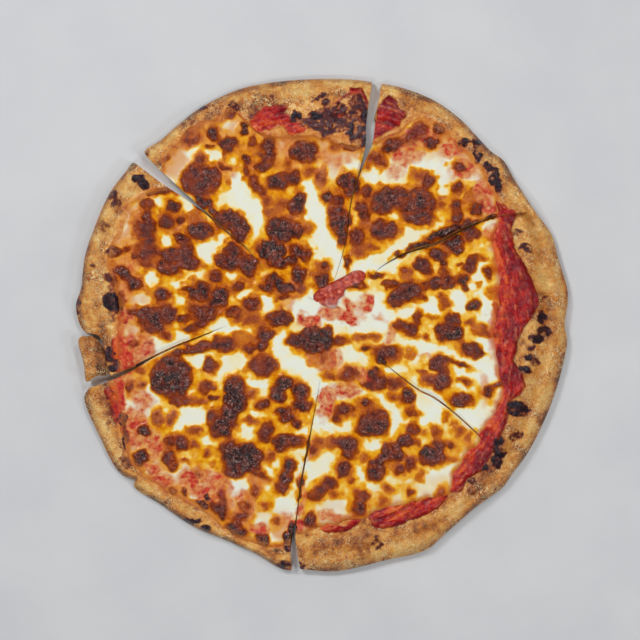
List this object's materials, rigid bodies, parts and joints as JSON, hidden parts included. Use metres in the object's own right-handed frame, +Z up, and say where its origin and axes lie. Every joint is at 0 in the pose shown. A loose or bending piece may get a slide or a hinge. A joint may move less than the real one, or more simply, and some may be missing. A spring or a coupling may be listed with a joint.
{
  "type": "cheese pizza",
  "caption": "Round thin-crust cheese pizza, cut into slices that still lie together, with tomato sauce and browned, blistered melted cheese inside a low uneven rim.",
  "frame": {"origin": "the middle of the pizza's outline, on its flat underside", "axes": "+Z up through the pizza's thickness, +X to the right and +Y to the top as seen from above"},
  "size_m": [0.3045, 0.3055, 0.0147],
  "materials": {
    "crust": "dry baked dough, golden tan with browner and charred spots",
    "sauce": "wet cooked tomato, crimson to orange red",
    "cheese": "glossy melted cheese, cream to golden with dark brown blisters",
    "tomato": "moist cooked tomato flesh"
  },
  "bodies": {
    "root": {"crust_1": "crust", "crust_2": "crust", "crust_3": "crust", "crust_4": "crust", "crust_5": "crust", "crust_6": "crust", "crust_chunk": "crust", "sauce_1": "sauce", "sauce_2": "sauce", "sauce_3": "sauce", "sauce_4": "sauce", "sauce_5": "sauce", "sauce_6": "sauce", "cheese_1": "cheese", "cheese_2": "cheese", "cheese_3": "cheese", "cheese_4": "cheese", "cheese_5": "cheese", "cheese_6": "cheese", "tomato_piece": "tomato"}
  },
  "joints": []
}
